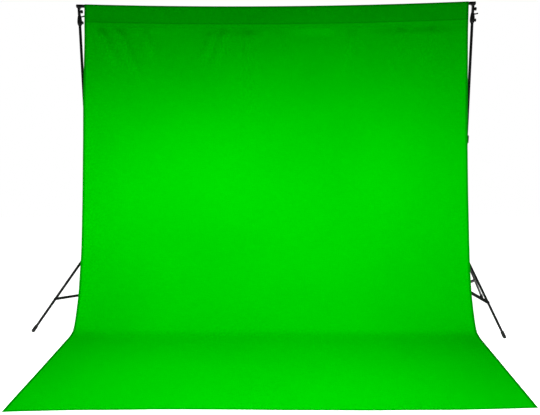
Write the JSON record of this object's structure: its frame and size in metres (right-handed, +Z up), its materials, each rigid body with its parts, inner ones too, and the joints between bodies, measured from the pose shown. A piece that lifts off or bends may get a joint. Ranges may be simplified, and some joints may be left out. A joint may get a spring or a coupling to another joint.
{
  "type": "background support system",
  "caption": "Free-standing studio background support: telescopic tripod stands carry a sectional crossbar and a cloth that hangs, sweeps forward and lies on the floor.",
  "frame": {"origin": "on the floor, under the middle of the whole object's box", "axes": "+X along the crossbar, to the right as seen from the front; -Y towards the front, over the cloth on the floor; +Z up"},
  "size_m": [3.8464, 2.2568, 2.5641],
  "materials": {
    "black_paint": "satin",
    "black_plastic": "matte",
    "black_rubber": "matte",
    "green_cloth": "matte"
  },
  "bodies": {
    "base_columns": {"left_base_tube": "black_paint", "left_column_plug": "black_plastic", "left_brace_collar": "black_plastic", "left_base_collar": "black_plastic", "right_base_tube": "black_paint", "right_column_plug": "black_plastic", "right_brace_collar": "black_plastic", "right_base_collar": "black_plastic", "backdrop_drop": "green_cloth", "backdrop_sweep": "green_cloth"},
    "left_hub": {"left_leg_hub": "black_plastic"},
    "left_hub_knob": {"left_hub_knob": "black_plastic"},
    "left_leg_1": {"left_leg_1": "black_paint", "left_foot_1": "black_rubber"},
    "left_brace_1": {"left_brace_1": "black_paint"},
    "left_leg_2": {"left_leg_2": "black_paint", "left_foot_2": "black_rubber"},
    "left_brace_2": {"left_brace_2": "black_paint"},
    "left_leg_3": {"left_leg_3": "black_paint", "left_foot_3": "black_rubber"},
    "left_brace_3": {"left_brace_3": "black_paint"},
    "left_mid": {"left_mid_tube": "black_paint", "left_mid_collar": "black_plastic"},
    "left_base_collar_knob": {"left_base_collar_knob": "black_plastic"},
    "left_mid_collar_knob": {"left_mid_collar_knob": "black_plastic"},
    "raised_frame": {"left_top_tube": "black_paint", "left_bar_holder": "black_plastic", "left_bar_cradle": "black_paint", "right_top_tube": "black_paint", "right_bar_holder": "black_plastic", "right_bar_cradle": "black_paint", "crossbar_section_1": "black_paint", "crossbar_section_2": "black_paint", "crossbar_section_3": "black_paint", "crossbar_section_4": "black_paint", "crossbar_cap_left": "black_plastic", "crossbar_cap_right": "black_plastic", "backdrop_pocket": "green_cloth"},
    "left_holder_knob": {"left_holder_knob": "black_plastic"},
    "left_lever_screw": {"left_lever_screw": "black_plastic"},
    "left_lock_knob": {"left_lock_knob": "black_plastic"},
    "right_hub": {"right_leg_hub": "black_plastic"},
    "right_hub_knob": {"right_hub_knob": "black_plastic"},
    "right_leg_1": {"right_leg_1": "black_paint", "right_foot_1": "black_rubber"},
    "right_brace_1": {"right_brace_1": "black_paint"},
    "right_leg_2": {"right_leg_2": "black_paint", "right_foot_2": "black_rubber"},
    "right_brace_2": {"right_brace_2": "black_paint"},
    "right_leg_3": {"right_leg_3": "black_paint", "right_foot_3": "black_rubber"},
    "right_brace_3": {"right_brace_3": "black_paint"},
    "right_mid": {"right_mid_tube": "black_paint", "right_mid_collar": "black_plastic"},
    "right_base_collar_knob": {"right_base_collar_knob": "black_plastic"},
    "right_mid_collar_knob": {"right_mid_collar_knob": "black_plastic"},
    "right_holder_knob": {"right_holder_knob": "black_plastic"},
    "right_lever_screw": {"right_lever_screw": "black_plastic"},
    "right_lock_knob": {"right_lock_knob": "black_plastic"}
  },
  "joints": [
    {"name": "bar_height", "type": "slide", "parent": "base_columns", "child": "raised_frame", "axis": [0, 0, 1], "range_m": [-1.175, 0], "deforming": ["backdrop_drop"]},
    {"name": "left_hub_slide", "type": "slide", "parent": "base_columns", "child": "left_hub", "axis": [0, 0, 1], "range_m": [0, 0.42396]},
    {"name": "left_hub_knob_turn", "type": "hinge", "parent": "left_hub", "child": "left_hub_knob", "pos_m": [-1.51561, 0.60307, 0.581], "axis": [0.6639, 0.7478, 0], "range_deg": [-360, 360]},
    {"name": "left_leg_1_fold", "type": "hinge", "parent": "left_hub", "child": "left_leg_1", "pos_m": [-1.55876, 0.55446, 0.561], "axis": [0.7478, -0.6639, 0], "range_deg": [0, 43.81]},
    {"name": "left_brace_1_fold", "type": "hinge", "parent": "base_columns", "child": "left_brace_1", "pos_m": [-1.55876, 0.55446, 0.1944], "axis": [-0.7478, 0.6639, 0], "range_deg": [0, 84.7]},
    {"name": "left_leg_2_fold", "type": "hinge", "parent": "left_hub", "child": "left_leg_2", "pos_m": [-1.50124, 0.57359, 0.561], "axis": [0.2011, 0.9796, 0], "range_deg": [0, 43.81]},
    {"name": "left_brace_2_fold", "type": "hinge", "parent": "base_columns", "child": "left_brace_2", "pos_m": [-1.50124, 0.57359, 0.1944], "axis": [-0.2011, -0.9796, 0], "range_deg": [0, 84.7]},
    {"name": "left_leg_3_fold", "type": "hinge", "parent": "left_hub", "child": "left_leg_3", "pos_m": [-1.54657, 0.61384, 0.561], "axis": [-0.9489, -0.3156, 0], "range_deg": [0, 43.81]},
    {"name": "left_brace_3_fold", "type": "hinge", "parent": "base_columns", "child": "left_brace_3", "pos_m": [-1.54657, 0.61384, 0.1944], "axis": [0.9489, 0.3156, 0], "range_deg": [0, 84.7]},
    {"name": "left_mid_slide", "type": "slide", "parent": "base_columns", "child": "left_mid", "axis": [0, 0, 1], "range_m": [-0.306, 0]},
    {"name": "left_base_collar_knob_turn", "type": "hinge", "parent": "base_columns", "child": "left_base_collar_knob", "pos_m": [-1.54074, 0.61018, 1.0764], "axis": [-0.1736, 0.9848, 0], "range_deg": [-360, 360]},
    {"name": "left_mid_collar_knob_turn", "type": "hinge", "parent": "left_mid", "child": "left_mid_collar_knob", "pos_m": [-1.52776, 0.60961, 1.509], "axis": [0.2588, 0.9659, 0], "range_deg": [-360, 360]},
    {"name": "left_holder_knob_turn", "type": "hinge", "parent": "raised_frame", "child": "left_holder_knob", "pos_m": [-1.51153, 0.58063, 2.422], "axis": [1, 0, 0], "range_deg": [-360, 360]},
    {"name": "left_lever_screw_turn", "type": "hinge", "parent": "raised_frame", "child": "left_lever_screw", "pos_m": [-1.52053, 0.58063, 2.468], "axis": [1, 0, 0], "range_deg": [-360, 360]},
    {"name": "left_lock_knob_turn", "type": "hinge", "parent": "raised_frame", "child": "left_lock_knob", "pos_m": [-1.51553, 0.58063, 2.507], "axis": [1, 0, 0], "range_deg": [-360, 360]},
    {"name": "right_hub_slide", "type": "slide", "parent": "base_columns", "child": "right_hub", "axis": [0, 0, 1], "range_m": [0, 0.48396]},
    {"name": "right_hub_knob_turn", "type": "hinge", "parent": "right_hub", "child": "right_hub_knob", "pos_m": [1.55314, 0.60841, 0.581], "axis": [-0.3778, 0.9259, 0], "range_deg": [-360, 360]},
    {"name": "right_leg_1_fold", "type": "hinge", "parent": "right_hub", "child": "right_leg_1", "pos_m": [1.5777, 0.54823, 0.561], "axis": [0.9259, 0.3778, 0], "range_deg": [0, 43.81]},
    {"name": "right_brace_1_fold", "type": "hinge", "parent": "base_columns", "child": "right_brace_1", "pos_m": [1.5777, 0.54823, 0.2544], "axis": [-0.9259, -0.3778, 0], "range_deg": [0, 95.32]},
    {"name": "right_leg_2_fold", "type": "hinge", "parent": "right_hub", "child": "right_leg_2", "pos_m": [1.58593, 0.60829, 0.561], "axis": [-0.7902, 0.6129, 0], "range_deg": [0, 43.81]},
    {"name": "right_brace_2_fold", "type": "hinge", "parent": "base_columns", "child": "right_brace_2", "pos_m": [1.58593, 0.60829, 0.2544], "axis": [0.7902, -0.6129, 0], "range_deg": [0, 95.32]},
    {"name": "right_leg_3_fold", "type": "hinge", "parent": "right_hub", "child": "right_leg_3", "pos_m": [1.5298, 0.58538, 0.561], "axis": [-0.1357, -0.9907, 0], "range_deg": [0, 43.81]},
    {"name": "right_brace_3_fold", "type": "hinge", "parent": "base_columns", "child": "right_brace_3", "pos_m": [1.5298, 0.58538, 0.2544], "axis": [0.1357, 0.9907, 0], "range_deg": [0, 95.32]},
    {"name": "right_mid_slide", "type": "slide", "parent": "base_columns", "child": "right_mid", "axis": [0, 0, 1], "range_m": [-0.306, 0]},
    {"name": "right_base_collar_knob_turn", "type": "hinge", "parent": "base_columns", "child": "right_base_collar_knob", "pos_m": [1.55926, 0.61018, 1.1364], "axis": [-0.1736, 0.9848, 0], "range_deg": [-360, 360]},
    {"name": "right_mid_collar_knob_turn", "type": "hinge", "parent": "right_mid", "child": "right_mid_collar_knob", "pos_m": [1.57224, 0.60961, 1.509], "axis": [0.2588, 0.9659, 0], "range_deg": [-360, 360]},
    {"name": "right_holder_knob_turn", "type": "hinge", "parent": "raised_frame", "child": "right_holder_knob", "pos_m": [1.58847, 0.58063, 2.422], "axis": [1, 0, 0], "range_deg": [-360, 360]},
    {"name": "right_lever_screw_turn", "type": "hinge", "parent": "raised_frame", "child": "right_lever_screw", "pos_m": [1.57947, 0.58063, 2.468], "axis": [1, 0, 0], "range_deg": [-360, 360]},
    {"name": "right_lock_knob_turn", "type": "hinge", "parent": "raised_frame", "child": "right_lock_knob", "pos_m": [1.58447, 0.58063, 2.507], "axis": [1, 0, 0], "range_deg": [-360, 360]}
  ],
  "couplings": [
    {"joint": "left_leg_1_fold", "follows": "left_hub_slide", "rad_per_m": 1.8032},
    {"joint": "left_brace_1_fold", "follows": "left_hub_slide", "rad_per_m": 3.4865},
    {"joint": "left_leg_2_fold", "follows": "left_hub_slide", "rad_per_m": 1.8032},
    {"joint": "left_brace_2_fold", "follows": "left_hub_slide", "rad_per_m": 3.4865},
    {"joint": "left_leg_3_fold", "follows": "left_hub_slide", "rad_per_m": 1.8032},
    {"joint": "left_brace_3_fold", "follows": "left_hub_slide", "rad_per_m": 3.4865},
    {"joint": "left_mid_slide", "follows": "bar_height", "ratio": 0.25957},
    {"joint": "right_leg_1_fold", "follows": "right_hub_slide", "rad_per_m": 1.5796},
    {"joint": "right_brace_1_fold", "follows": "right_hub_slide", "rad_per_m": 3.4372},
    {"joint": "right_leg_2_fold", "follows": "right_hub_slide", "rad_per_m": 1.5796},
    {"joint": "right_brace_2_fold", "follows": "right_hub_slide", "rad_per_m": 3.4372},
    {"joint": "right_leg_3_fold", "follows": "right_hub_slide", "rad_per_m": 1.5796},
    {"joint": "right_brace_3_fold", "follows": "right_hub_slide", "rad_per_m": 3.4372},
    {"joint": "right_mid_slide", "follows": "bar_height", "ratio": 0.25957}
  ]
}
